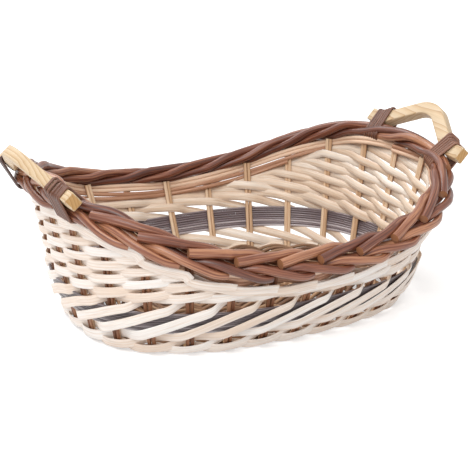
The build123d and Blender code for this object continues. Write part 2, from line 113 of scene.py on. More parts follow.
def willow(name, outside, cut, roughness, streak, inside=None, coat=0.0, tone_share=0.5):
    """Willow with streaks along the rod. Outside and inside each hold a dark, a middle and a pale
    colour, cut is the colour of a sheared end, streak is the length and width of a streak, and
    tone_share is how far one rod may be darker or paler than the next."""
    material = bpy.data.materials.new(name)
    tree = empty_tree(material)
    grain = add(tree, "ShaderNodeAttribute", {"attribute_name": "grain"}).outputs["Vector"]
    tone = add(tree, "ShaderNodeAttribute", {"attribute_name": "tone"}).outputs["Fac"]
    end = add(tree, "ShaderNodeAttribute", {"attribute_name": "cut"}).outputs["Fac"]
    noises = []
    for length, width in (streak, (FIBRE_LENGTH, FIBRE_WIDTH)):
        scale = (1 / length, 1 / width, 1 / width)
        mapped = add(tree, "ShaderNodeMapping", {"Scale": scale}, {"Vector": grain})
        noise = add(
            tree, "ShaderNodeTexNoise", {"Scale": 1.0, "Detail": 4.0, "Roughness": 0.6},
            {"Vector": mapped.outputs["Vector"]},
        )
        noises.append(noise.outputs["Fac"])
    streaks, fibres = noises
    shade = add(
        tree, "ShaderNodeMath", {"operation": "MULTIPLY_ADD", 1: tone_share}, {0: tone, 2: streaks}
    )
    shade = add(tree, "ShaderNodeMath", {"operation": "SUBTRACT", 1: tone_share / 2}, {0: shade.outputs[0]})
    faces = []
    for colours in (inside or outside, outside):
        stops = list(zip(STREAK_STOPS, (linear(code) for code in colours)))
        faces.append(add(tree, "ShaderNodeValToRGB", {"stops": stops}, {"Fac": shade.outputs[0]}))
    parts = add(tree, "ShaderNodeSeparateXYZ", None, {"Vector": grain})
    side = add(
        tree, "ShaderNodeMapRange", {"From Min": -FACE_BLEND_DEPTH, "From Max": FACE_BLEND_DEPTH},
        {"Value": parts.outputs["Z"]},
    )
    colour = add(
        tree, "ShaderNodeMixRGB", None,
        {"Fac": side.outputs[0], "Color1": faces[0].outputs["Color"], "Color2": faces[1].outputs["Color"]},
    )
    light = add(
        tree, "ShaderNodeMapRange",
        {
            "From Min": STREAK_STOPS[0], "From Max": STREAK_STOPS[-1],
            "To Min": FIBRE_LIGHT_SHARES[0], "To Max": FIBRE_LIGHT_SHARES[1],
        },
        {"Value": fibres},
    )
    colour = add(
        tree, "ShaderNodeMixRGB", {"blend_type": "MULTIPLY", "Fac": 1.0},
        {"Color1": colour.outputs["Color"], "Color2": light.outputs[0]},
    )
    colour = add(
        tree, "ShaderNodeMixRGB", {"Color2": linear(cut)},
        {"Fac": end, "Color1": colour.outputs["Color"]},
    )
    bump = add(tree, "ShaderNodeBump", {"Strength": 0.6, "Distance": FIBRE_DEPTH * MM}, {"Height": fibres})
    shader = add(
        tree, "ShaderNodeBsdfPrincipled",
        {"Roughness": roughness, "IOR": WOOD_IOR, "Coat Weight": coat, "Coat Roughness": COAT_ROUGHNESS},
        {"Base Color": colour.outputs["Color"], "Normal": bump.outputs["Normal"]},
    )
    add(tree, "ShaderNodeOutputMaterial", None, {"Surface": shader.outputs["BSDF"]})
    return material


class Skin:
    """The skin of a piece of one or more rods, with what its material reads at each point."""

    def __init__(self, seed):
        self.draw = random.Random(seed)
        self.points, self.faces = [], []
        self.grain, self.tone, self.cut = [], [], []

    def ring(self, centre, wide, out, section, along, tone, cut):
        """Adds a ring of points in the form of a section, and gives the number of its first."""
        first = len(self.points)
        for a, b in section:
            self.points.append(centre + wide * a + out * b)
            self.grain.append((along, a, b))
            self.tone.append(tone)
            self.cut.append(cut)
        return first

    def carry(self, centres, wides, outs, section_at, closed=False):
        """Carries a section along a line. section_at gives it at each share of the length."""
        tone = self.draw.random()
        along = self.draw.uniform(0, GRAIN_START_RANGE)
        last = len(centres) - 1
        rings = []
        for i, centre in enumerate(centres):
            if i:
                along += (centre - centres[i - 1]).length
            rings.append(self.ring(centre, wides[i], outs[i], section_at(i / last), along, tone, 0.0))
        count = len(section_at(0.0))
        pairs = list(zip(rings, rings[1:]))
        if closed:
            pairs.append((rings[-1], rings[0]))
        for here, after in pairs:
            for k in range(count):
                m = (k + 1) % count
                self.faces.append((here + k, here + m, after + m, after + k))
        if not closed:
            for i in (0, last):
                first = self.ring(centres[i], wides[i], outs[i], section_at(i / last), along, tone, 1.0)
                cap = list(range(first, first + count))
                self.faces.append(tuple(reversed(cap)) if i == 0 else tuple(cap))

    def piece(self, name, material, slot, *nodes):
        """Makes the mesh, and lets it ride on the basket in place of the solids that it stands for."""
        mesh = bpy.data.meshes.new(name)
        mesh.from_pydata([point * MM for point in self.points], [], self.faces)
        for key, kind, field, values in (
            ("grain", "FLOAT_VECTOR", "vector", [v for vector in self.grain for v in vector]),
            ("tone", "FLOAT", "value", self.tone),
            ("cut", "FLOAT", "value", self.cut),
        ):
            mesh.attributes.new(key, kind, "POINT").data.foreach_set(field, values)
        mesh.polygons.foreach_set("use_smooth", [True] * len(mesh.polygons))
        mesh.set_sharp_from_angle(angle=SHARP_EDGE)
        mesh.materials.append(material)
        made = bpy.data.objects.new(name, mesh)
        bpy.context.scene.collection.objects.link(made)
        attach(made, "root")
        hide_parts(*nodes)


def rod_section(half_width, half_depth, sides):
    """A round or oval section."""
    turns = [2 * math.pi * k / sides for k in range(sides)]
    return [(half_width * math.cos(turn), half_depth * math.sin(turn)) for turn in turns]


def directions(points, closed=False):
    """Direction of travel at each point, from its two neighbours."""
    last = len(points) - 1
    found = []
    for i in range(len(points)):
        before = points[i - 1] if closed or i > 0 else points[0]
        after = points[(i + 1) % len(points)] if closed or i < last else points[last]
        found.append((after - before).normalized())
    return found


def square_to(ways, ups):
    """The directions wide and out at each point, square to the way there, with out nearest to up."""
    outs = [(up - way * up.dot(way)).normalized() for up, way in zip(ups, ways)]
    wides = [out.cross(way) for out, way in zip(outs, ways)]
    return wides, outs


def round_rod(skin, points, ups, radius_at, closed=False, sides=12):
    """A rod of round section. ups lean its section, so that its grain keeps one side out."""
    wides, outs = square_to(directions(points, closed), ups)

    def section_at(share):
        return rod_section(radius_at(share), radius_at(share), sides)

    skin.carry(points, wides, outs, section_at, closed)


def stick_reach(half_along, half_across, place):
    """Half the length of a stick that lies at a place across the base."""
    return half_along * (1 - (abs(place) / half_across) ** FOOT_SQUARENESS) ** (1 / FOOT_SQUARENESS)


def lay_stick(skin, middle, way, reach, radius):
    """A straight stick on the base, between its two sheared ends."""
    line = [middle + way * (-reach + 2 * reach * k / STICK_STEPS) for k in range(STICK_STEPS + 1)]
    round_rod(skin, line, [UP] * len(line), lambda share: radius)


# Brown willow in its bark, which is dull and streaked, with pale sheared ends.
stick_bark = willow(
    "brown_willow_base_sticks", outside=("#6b4a33", "#8a6446", "#a98462"), cut="#d9bd96",
    roughness=0.6, streak=(45.0, 1.6),
)
_, sticks_corner = (corner * PER_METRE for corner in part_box("base_sticks"))
stick_half_length = sticks_corner.x + STICK_OVAL_MARGIN_LENGTH
stick_half_width = sticks_corner.y + STICK_OVAL_MARGIN_WIDTH
sticks = Skin(seed=11)
for i in range(CROSS_STICK_COUNT):
    x = CROSS_STICK_SPACING * (i - (CROSS_STICK_COUNT - 1) / 2)
    reach = stick_reach(stick_half_width, stick_half_length, x)
    lay_stick(sticks, Vector((x, 0, STICK_LEVEL)), ACROSS, reach, CROSS_STICK_RADIUS)
for y in LONG_STICK_PLACES:
    reach = stick_reach(stick_half_length, stick_half_width, y)
    lay_stick(sticks, Vector((0, y, STICK_LEVEL)), ALONG, reach, LONG_STICK_RADIUS)
sticks.piece("crossed_base_sticks", stick_bark, "base_stick_willow", "base_sticks")


# Base mat: rounds of thin half stripped willow, woven over and under the crossed sticks from
# the middle outwards. Each round is packed against the last with a rapping iron.

MAT_ROD_DIAMETER = 3.4
MAT_PITCH = 3.7
MAT_STEPS = 180
MAT_FIRST_HALF_WIDTH = 2.0


def oval(half_length, half_width, squareness, angle):
    """A point of a rounded rectangle that swells like an oval."""
    c, s = math.cos(angle), math.sin(angle)
    x = math.copysign(abs(c) ** (2 / squareness), c) * half_length
    y = math.copysign(abs(s) ** (2 / squareness), s) * half_width
    return x, y


# Half stripped willow, as plain bases are woven of: dull tan wood with streaks of brown bark.
# Its colours are also kept darker than the willow alone needs, as painted shade where the mat shows through
# gaps in the wall.
base_weave_and_painted_shade = willow(
    "half_stripped_willow_base_and_painted_shade", outside=("#6f4f3a", "#946f52", "#b38f6e"), cut="#d8bf9c",
    roughness=0.65, streak=(50.0, 1.5),
)
_, mat_corner = (corner * PER_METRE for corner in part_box("base_mat"))
mat_swing = CROSS_STICK_RADIUS + MAT_ROD_DIAMETER / 2
mat = Skin(seed=12)
half_width = mat_corner.y - MAT_ROD_DIAMETER / 2
round_number = 0
while half_width > MAT_FIRST_HALF_WIDTH:
    half_length = mat_corner.x - mat_corner.y + half_width
    side = 1 if round_number % 2 == 0 else -1
    line = []
    for k in range(MAT_STEPS):
        x, y = oval(half_length, half_width, FOOT_SQUARENESS, 2 * math.pi * k / MAT_STEPS)
        swing = side * mat_swing * math.cos(math.pi * x / CROSS_STICK_SPACING)
        line.append(Vector((x, y, STICK_LEVEL + swing)))
    # No round goes where a long stick already fills the row.
    stick_gap = min(abs(half_width - abs(y)) for y in LONG_STICK_PLACES)
    if stick_gap > LONG_STICK_RADIUS:
        round_rod(mat, line, [UP] * MAT_STEPS, lambda share: MAT_ROD_DIAMETER / 2, closed=True, sides=8)
    half_width -= MAT_PITCH
    round_number += 1
mat.piece("woven_base_mat", base_weave_and_painted_shade, "base_willow", "base_mat")


# Stakes: pairs of split willow rods that stand round the base and carry the whole wall. Each
# half rod keeps its brown bark outside and shows its pale split face inside.

FOOT_HALF_LENGTH = 163.0
FOOT_HALF_WIDTH = 118.0
RIM_HALF_LENGTH = 189.0
RIM_HALF_WIDTH = 158.0
RIM_SQUARENESS = 2.68
RIM_MID_HEIGHT = 85.5
RIM_END_HEIGHT = 137.2
DIP_POWER = 1.68
FLARE_POWER = 0.79
BORDER_HALF_WIDTH = 14.4
BORDER_HALF_THICKNESS = 8.2
BORDER_TILT = math.radians(40.8)
BORDER_DROP = 1 / math.hypot(
    math.cos(BORDER_TILT) / BORDER_HALF_THICKNESS, math.sin(BORDER_TILT) / BORDER_HALF_WIDTH
)
BAND_MIDDLE = 35.0
STAKE_COUNT = 26
STAKE_SHIFT_SHARE = 0.0156
STAKE_DRIFT_SHARE = 0.0192
STAKE_DRIFT_TURN = math.radians(16.5)
STAKE_ROD_WIDTH = 3.5
STAKE_ROD_DEPTH = 3.6
STAKE_SIDES = 14
STAKE_SIDE_POWER = 0.7
STAKE_GAP = 0.15
STAKE_BOW = 0.4
STAKE_FOOT_HEIGHT = 0.1
STAKE_TOP_TUCK = 3
STAKE_RISES = 24
WALL_INSET = 4.5
STAKE_STEP = 0.05
HEIGHT_STEP = 0.5
OVAL_STEPS = 6000


def rim_height(angle):
    """Height of the middle of the border, low at the sides and high at the ends."""
    return RIM_MID_HEIGHT + (RIM_END_HEIGHT - RIM_MID_HEIGHT) * abs(math.cos(angle)) ** DIP_POWER


def wall(angle, height):
    """A point of the outer face of the wall."""
    share = (max(height, 0) / rim_height(angle)) ** FLARE_POWER
    foot_x, foot_y = oval(FOOT_HALF_LENGTH, FOOT_HALF_WIDTH, FOOT_SQUARENESS, angle)
    rim_x, rim_y = oval(RIM_HALF_LENGTH, RIM_HALF_WIDTH, RIM_SQUARENESS, angle)
    return Vector((foot_x + (rim_x - foot_x) * share, foot_y + (rim_y - foot_y) * share, height))


# The stakes stand at nearly even steps round the wall, which are measured along the band.
OVAL_ANGLES = [2 * math.pi * i / OVAL_STEPS - math.pi for i in range(OVAL_STEPS + 1)]
oval_points = [wall(angle, BAND_MIDDLE) for angle in OVAL_ANGLES]
oval_lengths = [0.0]
for before, after in zip(oval_points, oval_points[1:]):
    oval_lengths.append(oval_lengths[-1] + (after - before).length)
OVAL_SHARES = [length / oval_lengths[-1] for length in oval_lengths]


def stake_angle(number):
    """Angle of a stake on the ovals. A number between two whole ones is between two stakes."""
    turn = 2 * math.pi * number / STAKE_COUNT
    share = number / STAKE_COUNT + STAKE_SHIFT_SHARE + STAKE_DRIFT_SHARE * math.cos(turn + STAKE_DRIFT_TURN)
    rounds = math.floor(share)
    share -= rounds
    i = min(max(bisect.bisect_right(OVAL_SHARES, share), 1), OVAL_STEPS)
    part = (share - OVAL_SHARES[i - 1]) / (OVAL_SHARES[i] - OVAL_SHARES[i - 1])
    return OVAL_ANGLES[i - 1] + (OVAL_ANGLES[i] - OVAL_ANGLES[i - 1]) * part + 2 * math.pi * rounds


def wall_frame(number, height):
    """Point in the middle of the stakes' layer, with the directions ahead, up and out there."""
    angle = stake_angle(number)
    face = wall(angle, height)
    after = wall(stake_angle(number + STAKE_STEP), height)
    before = wall(stake_angle(number - STAKE_STEP), height)
    ahead = (after - before).normalized()
    out = ahead.cross(wall(angle, height + HEIGHT_STEP) - face).normalized()
    return face - out * WALL_INSET, ahead, out.cross(ahead), out


def weave_top(number):
    """Height of the underside of the border."""
    return rim_height(stake_angle(number)) - BORDER_DROP


def stake_section():
    """A half rod, rounded outside and inside, with nearly flat sides."""
    points = []
    for k in range(STAKE_SIDES):
        turn = 2 * math.pi * (k + 0.5) / STAKE_SIDES
        wide = math.copysign(abs(math.cos(turn)) ** STAKE_SIDE_POWER, math.cos(turn))
        points.append((STAKE_ROD_WIDTH / 2 * wide, STAKE_ROD_DEPTH / 2 * math.sin(turn)))
    return points


# Split brown willow: bark outside, red brown and dull, and pale tan wood with open grain inside.
stake_willow = willow(
    "split_willow_stakes", outside=("#6e442c", "#8d5c3e", "#a97a5c"),
    inside=("#c9a27c", "#dfbb96", "#efd3b3"), cut="#d8bb97", roughness=0.55, streak=(40.0, 1.2),
)
half_rod = stake_section()
for k in range(STAKE_COUNT):
    pair = Skin(seed=100 + k)
    for side in (-1, 1):
        offset = side * (STAKE_ROD_WIDTH / 2 + STAKE_GAP)
        lean = pair.draw.uniform(-STAKE_BOW, STAKE_BOW)
        centres, wides, outs = [], [], []
        for i in range(STAKE_RISES + 1):
            top = weave_top(k) + STAKE_TOP_TUCK
            height = STAKE_FOOT_HEIGHT + (top - STAKE_FOOT_HEIGHT) * i / STAKE_RISES
            middle, ahead, up, out = wall_frame(k, height)
            centres.append(middle + ahead * (offset + lean * math.sin(math.pi * i / STAKE_RISES)))
            wides.append(ahead)
            outs.append(out)
        pair.carry(centres, wides, outs, lambda share: half_rod)
    pair.piece(f"split_stake_pair_{k + 1:02d}", stake_willow, "stake_willow", f"stake_pair_{k + 1:02d}")


# Chips: long strips of peeled split willow, flat outside and rounded inside. One starts at
# each stake and is woven up and to the right, in front of one stake and behind the next, and
# lies over three spaces at once where it crosses the dark band.

CHIP_WIDTH = 9.6
CHIP_BACK_WIDTH = 7.4
CHIP_THICKNESS = 2.2
CHIP_WIDTH_SHARES = (0.9, 1.08)
CHIP_THICKNESS_SHARES = (0.9, 1.1)
UPPER_CHIP_WIDTH_SHARE = 0.88
# Each pair: how far in from the edge, and the share of half the thickness there.
CHIP_FACE_SHARES = ((0.0, 0.45), (0.35, 0.9), (1.2, 1.03))
# Each pair: the share of half the back's width, and the share of half the thickness there.
CHIP_BACK_SHARES = ((1.0, 0.35), (0.6, 0.85))
CHIP_CROWN_SHARE = 1.1
CHIP_TWIST = math.radians(7)
CHIP_DEPTH = 3.05
CHIP_WANDER = 0.35
CHIP_WANDER_RATE = 1.7
CHIP_STEPS_PER_LEVEL = 12
# A chip's level counts the stakes that it has passed.
START_LEVEL = 0.12
FLOAT_START = 2
FLOAT_END = 5
NARROWING_START = 5.6
NARROWING_LEVELS = 1.5
FOOT_START_HEIGHT = 4.9
FOOT_ROW_HEIGHT = 5.6
SECOND_ROW_HEIGHT = 13.2
FLOAT_LOW_HEIGHT = 18.8
FLOAT_HIGH_HEIGHT = 48.6
UPPER_ROW_MID_HEIGHT = 53.2
UPPER_ROW_END_HEIGHT = 50.0
UPPER_PITCH_MID = 5.6
UPPER_PITCH_END = 6.9
LIFT_POWER = 4.0
UPPER_ROW_LEAN = 3.4
LEAN_START = 5.5
BLEND_LEVELS = (-0.6, -0.4, -0.2, 0, 0.2, 0.4, 0.6)
STAKE_HOLD = 0.06
EASE_WEIGHT = 2
OUTWARD_POWER = 1.8
FLOAT_DEPTH = 6.5
FLOAT_RISE_LEVELS = 0.84
FLOAT_RETURN_START = 0.45
FLOAT_RETURN_LEVELS = 0.48
FLOAT_SWAY = 1.2
FLOAT_SWAY_LEVELS = 0.8
TAIL_START = 0.5
TAIL_LEVELS = 2.5
TAIL_TURN_START = 0.5
TAIL_TURN_LEVELS = 0.8
TAIL_DEPTH = 3.2
TAIL_STEP = 1.7
TAIL_TUCK = 4.0
TAIL_TUCK_LEVELS = 0.9
PACKING_ROW_ROOM = 3.2
# Row, first stake and last stake of each packing rod. Row -1 lies up under the border.
PACKING_RODS = (
    (-1, 0, 13), (-1, 13, 26),
    (0, 0, 13), (1, 2, 10), (2, 3, 9),
    (0, 13, 26), (1, 15, 23), (2, 16, 22),
)


def end_share(number):
    """How near a place is to the high ends of the basket, from 0 at mid-side to 1."""
    return abs(math.cos(stake_angle(number))) ** LIFT_POWER


def chip_height(number, level):
    """Height of the middle of a chip that has climbed some levels."""
    near_end = end_share(number)
    upper = UPPER_ROW_MID_HEIGHT + (UPPER_ROW_END_HEIGHT - UPPER_ROW_MID_HEIGHT) * near_end
    # On each long side the rows lie higher before the middle of the side than after it.
    lean = UPPER_ROW_LEAN * (1 - near_end) * math.sin(4 * math.pi * (number - LEAN_START) / STAKE_COUNT)
    upper -= lean
    pitch = UPPER_PITCH_MID + (UPPER_PITCH_END - UPPER_PITCH_MID) * near_end
    places = (
        (0, FOOT_START_HEIGHT),
        (1, FOOT_ROW_HEIGHT),
        (FLOAT_START, SECOND_ROW_HEIGHT),
        (FLOAT_START + 0.5, FLOAT_LOW_HEIGHT),
        (FLOAT_END - 0.5, FLOAT_HIGH_HEIGHT - lean),
        (FLOAT_END, upper),
        (STAKE_COUNT, upper + pitch * (STAKE_COUNT - FLOAT_END)),
    )
    for (start, low), (end, high) in zip(places, places[1:]):
        if level <= end:
            return low + (high - low) * (level - start) / (end - start)


def chip_limit(number):
    """Height above which no chip climbs, under the border and the packing rods there."""
    place = number % STAKE_COUNT
    rows = sum(row >= 0 and start <= place <= end for row, start, end in PACKING_RODS)
    return weave_top(number) - rows * PACKING_ROW_ROOM - CHIP_WIDTH / 2


def stake_depth(level):
    """How far outside the stakes a chip lies where it passes one: minus is inside."""
    if FLOAT_START < level < FLOAT_END:
        return FLOAT_DEPTH
    outside = level % 2 == (1 if level <= FLOAT_START else 0)
    return CHIP_DEPTH if outside else -CHIP_DEPTH


def ease(share):
    """A smooth step from 0 to 1."""
    share = min(max(share, 0), 1)
    return share * share * (3 - 2 * share)


def chip_depth_and_twist(level):
    """Where a chip lies across the stakes' layer, and how far it is twisted, at any level."""
    before = math.floor(level)
    passed = level - before
    here, after = stake_depth(before), stake_depth(before + 1)
    if FLOAT_START <= before < FLOAT_END:
        part = 0
        if here > after:
            part = ease((passed - FLOAT_RETURN_START) / FLOAT_RETURN_LEVELS)
        elif here < after:
            part = ease((passed - STAKE_HOLD) / FLOAT_RISE_LEVELS)
        return here + (after - here) * part, 0.0
    part = (passed - STAKE_HOLD) / (1 - 2 * STAKE_HOLD)
    part = (min(max(part, 0), 1) + EASE_WEIGHT * ease(part)) / (1 + EASE_WEIGHT)
    # A stiff chip springs outwards between the stakes, so it leaves the inside soon.
    part = 1 - (1 - part) ** OUTWARD_POWER if here < after else part ** OUTWARD_POWER
    twist = CHIP_TWIST * (0.5 - 0.5 * math.cos(2 * math.pi * passed))
    return here + (after - here) * part, twist


def mirrored(side, middle):
    """An outline from the points of one side and the point in its middle."""
    return side + [middle] + [(-a, b) for a, b in reversed(side)]


def chip_section(width, thick):
    """A strip that is flat outside, with its edges just broken, and rounded inside."""
    half, back, deep = CHIP_WIDTH / 2 * width, CHIP_BACK_WIDTH / 2 * width, CHIP_THICKNESS / 2 * thick
    face = [(-half + edge, deep * share) for edge, share in CHIP_FACE_SHARES]
    inner = [(back * place, -deep * share) for place, share in CHIP_BACK_SHARES]
    crown = deep * CHIP_CROWN_SHARE
    return mirrored(face, (0.0, crown)) + mirrored(inner, (0.0, -crown))


# Peeled willow split and shaved flat: cream and satin outside, with fine fibres, and warmer
# tan wood on the rounded side that faces into the basket.
chip_willow = willow(
    "peeled_split_willow_chips", outside=("#ecd6c3", "#f7eadf", "#fcf7f2"),
    inside=("#e8ccb0", "#f4e1cc", "#fcf1e4"), cut="#e6cfad", roughness=0.46, streak=(70.0, 1.6),
    coat=0.1, tone_share=0.3,
)
chips = Skin(seed=13)


def weave_chip(first, start, end):
    """One chip, from its cut end at a level to its tail, which lies outside under the border."""
    tail = end + TAIL_START
    width = chips.draw.uniform(*CHIP_WIDTH_SHARES)
    sway = chips.draw.uniform(-FLOAT_SWAY, FLOAT_SWAY)
    thick = chips.draw.uniform(*CHIP_THICKNESS_SHARES)
    phase = chips.draw.uniform(0, 2 * math.pi)
    centres, twists, widths = [], [], []
    steps = round((tail + TAIL_LEVELS - start) * CHIP_STEPS_PER_LEVEL)
    for i in range(steps + 1):
        level = start + i / CHIP_STEPS_PER_LEVEL
        number = first + level
        on_float = ease((level - FLOAT_START) / FLOAT_SWAY_LEVELS)
        on_float *= ease((FLOAT_END - level) / FLOAT_SWAY_LEVELS)
        tucked = ease((level - tail - TAIL_LEVELS + TAIL_TUCK_LEVELS) / TAIL_TUCK_LEVELS)
        on_tail = ease((level - tail + TAIL_TURN_START) / TAIL_TURN_LEVELS)
        narrowed = (1 - UPPER_CHIP_WIDTH_SHARE) * ease((level - NARROWING_START) / NARROWING_LEVELS)
        height = sum(chip_height(number, max(level + d, 0)) for d in BLEND_LEVELS) / len(BLEND_LEVELS)
        height = min(height + sway * on_float, chip_limit(number))
        height += CHIP_WANDER * math.sin(CHIP_WANDER_RATE * level + phase) * ease(level - 1)
        height += TAIL_TUCK * tucked
        depth, twist = chip_depth_and_twist(level)
        depth += (TAIL_DEPTH + TAIL_STEP * (level - tail) - depth) * on_tail
        middle, _, up, out = wall_frame(number, height)
        centres.append(middle + out * depth)
        twists.append((up, twist * (1 - on_tail)))
        widths.append(width * (1 - narrowed))
    highs, fronts = [], []
    for way, (up, twist) in zip(directions(centres), twists):
        rise = (up - way * up.dot(way)).normalized()
        face = way.cross(rise)
        highs.append(rise * math.cos(twist) - face * math.sin(twist))
        fronts.append(face * math.cos(twist) + rise * math.sin(twist))
    chips.carry(centres, highs, fronts, lambda share: chip_section(widths[round(share * steps)], thick))


# A chip ends under the border. Where the rim has risen again, a new one goes on in its line.
for first in range(STAKE_COUNT):
    last = None
    for level in range(1, STAKE_COUNT):
        if chip_height(first + level, level) < chip_limit(first + level):
            if last != level - 1:
                start = level - 1 + START_LEVEL
            last = level
        elif last == level - 1:
            weave_chip(first, start, last)
chips.piece("woven_willow_chips", chip_willow, "peeled_willow", "willow_chips")


# Band: thin buff rods dyed grey brown, laid side by side round the outside of the stakes and
# held there by the long strokes of the chips.

BAND_ROD_COUNT = 9
BAND_ROD_DIAMETER = 2.5
BAND_BOTTOM = 25.2
BAND_TOP = 45.2
BAND_DEPTH = 3.55
BAND_HEIGHT_SWAY = 0.08
BAND_HEIGHT_RATE = 1.3
BAND_DEPTH_SWAY = 0.15
BAND_DEPTH_RATE = 2
BAND_STEPS = 260
BAND_BUTT_GAP = 0.01

# Dyed and boiled willow: smooth grey brown skin with a gloss that draws pale lines of light.
# The rods are dyed alike all round: their paler inside colours are painted light on the half that faces into
# the basket.
band_willow = willow(
    "dyed_grey_willow_band_painted_lit_inside", outside=("#574a4c", "#7e7173", "#afa5a7"),
    inside=("#736467", "#9b8d8f", "#cbc0c2"), cut="#8d7c74", roughness=0.3, streak=(70.0, 0.8),
    coat=0.5, tone_share=0.7,
)
band = Skin(seed=14)
for row in range(BAND_ROD_COUNT):
    height = BAND_BOTTOM + (BAND_TOP - BAND_BOTTOM) * (row + 0.5) / BAND_ROD_COUNT
    phase = band.draw.uniform(0, 2 * math.pi)
    first = STAKE_COUNT * row / BAND_ROD_COUNT
    line, outs = [], []
    for i in range(BAND_STEPS + 1):
        number = first + (STAKE_COUNT - BAND_BUTT_GAP) * i / BAND_STEPS
        sway = BAND_HEIGHT_SWAY * math.sin(number * BAND_HEIGHT_RATE + phase)
        middle, _, _, out = wall_frame(number, height + sway)
        depth = BAND_DEPTH + BAND_DEPTH_SWAY * math.cos(number * BAND_DEPTH_RATE + phase)
        line.append(middle + out * depth)
        outs.append(out)
    round_rod(band, line, outs, lambda share: BAND_ROD_DIAMETER / 2, sides=10)
band.piece("grey_band_rods", band_willow, "band_willow", "band_rods")


# Packing: thin split rods woven in rows under the border, which fill the low middle of each
# side. They keep part of their bark, and their ends are cut at the stakes where a row ends.

PACKING_ROD_HEIGHT = 4.3
PACKING_ROD_THICKNESS = 3.2
PACKING_ROD_SIDES = 10
PACKING_ROW_GAP = 3.9
PACKING_DEPTH = 3.4
PACKING_SWAY = 0.4
PACKING_SWAY_RATE = 1.9
PACKING_STEPS_PER_STAKE = 8

# Half stripped willow: tan wood with streaks of brown bark, satin.
packing_willow = willow(
    "half_stripped_willow_packing", outside=("#ad7b60", "#d2a88d", "#ebccb5"),
    inside=("#b07e60", "#d9ae90", "#efceb2"), cut="#dcc09c", roughness=0.5, streak=(55.0, 1.0),
    tone_share=0.6,
)
packing = Skin(seed=15)
packing_section = rod_section(PACKING_ROD_HEIGHT / 2, PACKING_ROD_THICKNESS / 2, PACKING_ROD_SIDES)
for row, start, end in PACKING_RODS:
    centres, highs, outs = [], [], []
    phase = packing.draw.uniform(0, 2 * math.pi)
    # Where two full rows meet at a stake, one ends outside it and the other inside.
    turned = 1 if start >= STAKE_COUNT / 2 else 0
    for i in range(PACKING_STEPS_PER_STAKE * (end - start) + 1):
        number = start + i / PACKING_STEPS_PER_STAKE
        sway = PACKING_SWAY * math.sin(PACKING_SWAY_RATE * number + phase)
        height = weave_top(number) - PACKING_ROW_GAP * (row + 0.5) + sway
        middle, _, up, out = wall_frame(number, height)
        centres.append(middle + out * (PACKING_DEPTH * math.cos(math.pi * (number + turned))))
        highs.append(up)
        outs.append(out)
    packing.carry(centres, highs, outs, lambda share: packing_section)
packing.piece("woven_packing_rods", packing_willow, "packing_willow", "packing_rods")


# Border: one thick brown rod for each stake, plaited with its neighbours over the inner edge,
# under, and out again to the outer edge. Its cut butt lies in the middle of the top.

BORDER_ROD_DIAMETER = 7.2
BORDER_BUTT_DIAMETER = 8.4
BORDER_TIP_DIAMETER = 6.8
BORDER_STEPS_PER_ROW = 8
BUD_COUNT = 3
BUD_PLACE_SHARES = (0.1, 0.9)
BUD_SWELLINGS = (0.15, 0.4)
BUD_LENGTH_SHARE = 0.02
RIGHT_TIES_Y = (-75.0, 34.0)
LEFT_TIES_Y = (-60.0, 51.0)
TIE_PINCH_SHARE = 0.36
TIE_NEAR = 0.3
TIE_FAR = 0.9
TIE_CENTRE = 1.5
HALVINGS = 50
# Each row: stakes passed, and the places across and through the border as shares of its halves.
BORDER_PATH_SHARES = (
    (0.0, 0.08, 1.08),
    (0.5, -0.37, 1.09),
    (1.0, -0.69, 0.85),
    (1.5, -1.01, 0.20),
    (2.0, -0.77, -0.83),
    (2.5, -0.40, -0.93),
    (3.0, 0.11, -0.96),
    (3.5, 0.35, 0.40),
    (4.0, 0.79, 0.57),
    (4.5, 1.00, -0.38),
    (4.8, 0.78, -0.91),
)


def border_frame(number):
    """Middle of the border, with the directions ahead, across to the outer edge, and through."""
    angle = stake_angle(number)
    after, before = stake_angle(number + STAKE_STEP), stake_angle(number - STAKE_STEP)
    ahead = (wall(after, rim_height(after)) - wall(before, rim_height(before))).normalized()
    out = ahead.cross(UP).normalized()
    across = out * math.cos(BORDER_TILT) - UP * math.sin(BORDER_TILT)
    through = out * math.sin(BORDER_TILT) + UP * math.cos(BORDER_TILT)
    return wall(angle, rim_height(angle)), ahead, across, through


def rim_number(y, end):
    """The place along the border, counted in stakes, at a distance across one end."""
    share = (abs(y) / RIM_HALF_WIDTH) ** (RIM_SQUARENESS / 2)
    wanted = math.copysign(math.asin(share), y)
    if end < 0:
        wanted = -math.pi - wanted
    low, high = -STAKE_COUNT / 4, STAKE_COUNT * 3 / 4
    for _ in range(HALVINGS):
        middle = (low + high) / 2
        if stake_angle(middle) < wanted:
            low = middle
        else:
            high = middle
    return low


TIE_NUMBERS = [
    rim_number(y, end) for ties_y, end in ((RIGHT_TIES_Y, 1), (LEFT_TIES_Y, -1)) for y in ties_y
]


def border_place(number, across_share, through_share):
    """A place in the border, which the cane draws together at each tie."""
    middle, _, across, through = border_frame(number)
    half = STAKE_COUNT / 2
    gap = min(abs((number - tie + half) % STAKE_COUNT - half) for tie in TIE_NUMBERS)
    pinch = TIE_PINCH_SHARE * ease((TIE_FAR - gap) / (TIE_FAR - TIE_NEAR))
    offset = across_share * (BORDER_HALF_WIDTH - BORDER_ROD_DIAMETER / 2)
    offset += (TIE_CENTRE - offset) * pinch
    lift = through_share * (BORDER_HALF_THICKNESS - BORDER_ROD_DIAMETER / 2)
    return middle + across * offset + through * lift


def between(rows, i, share):
    """A place on the smooth line through rows of values, after row i."""
    near = [rows[min(max(k, 0), len(rows) - 1)] for k in (i - 1, i, i + 1, i + 2)]
    found = []
    for before, here, after, beyond in zip(*near):
        bend = 3 * (here - after) + beyond - before
        slope = 2 * before - 5 * here + 4 * after - beyond + share * bend
        found.append(here + 0.5 * share * (after - before + share * slope))
    return found


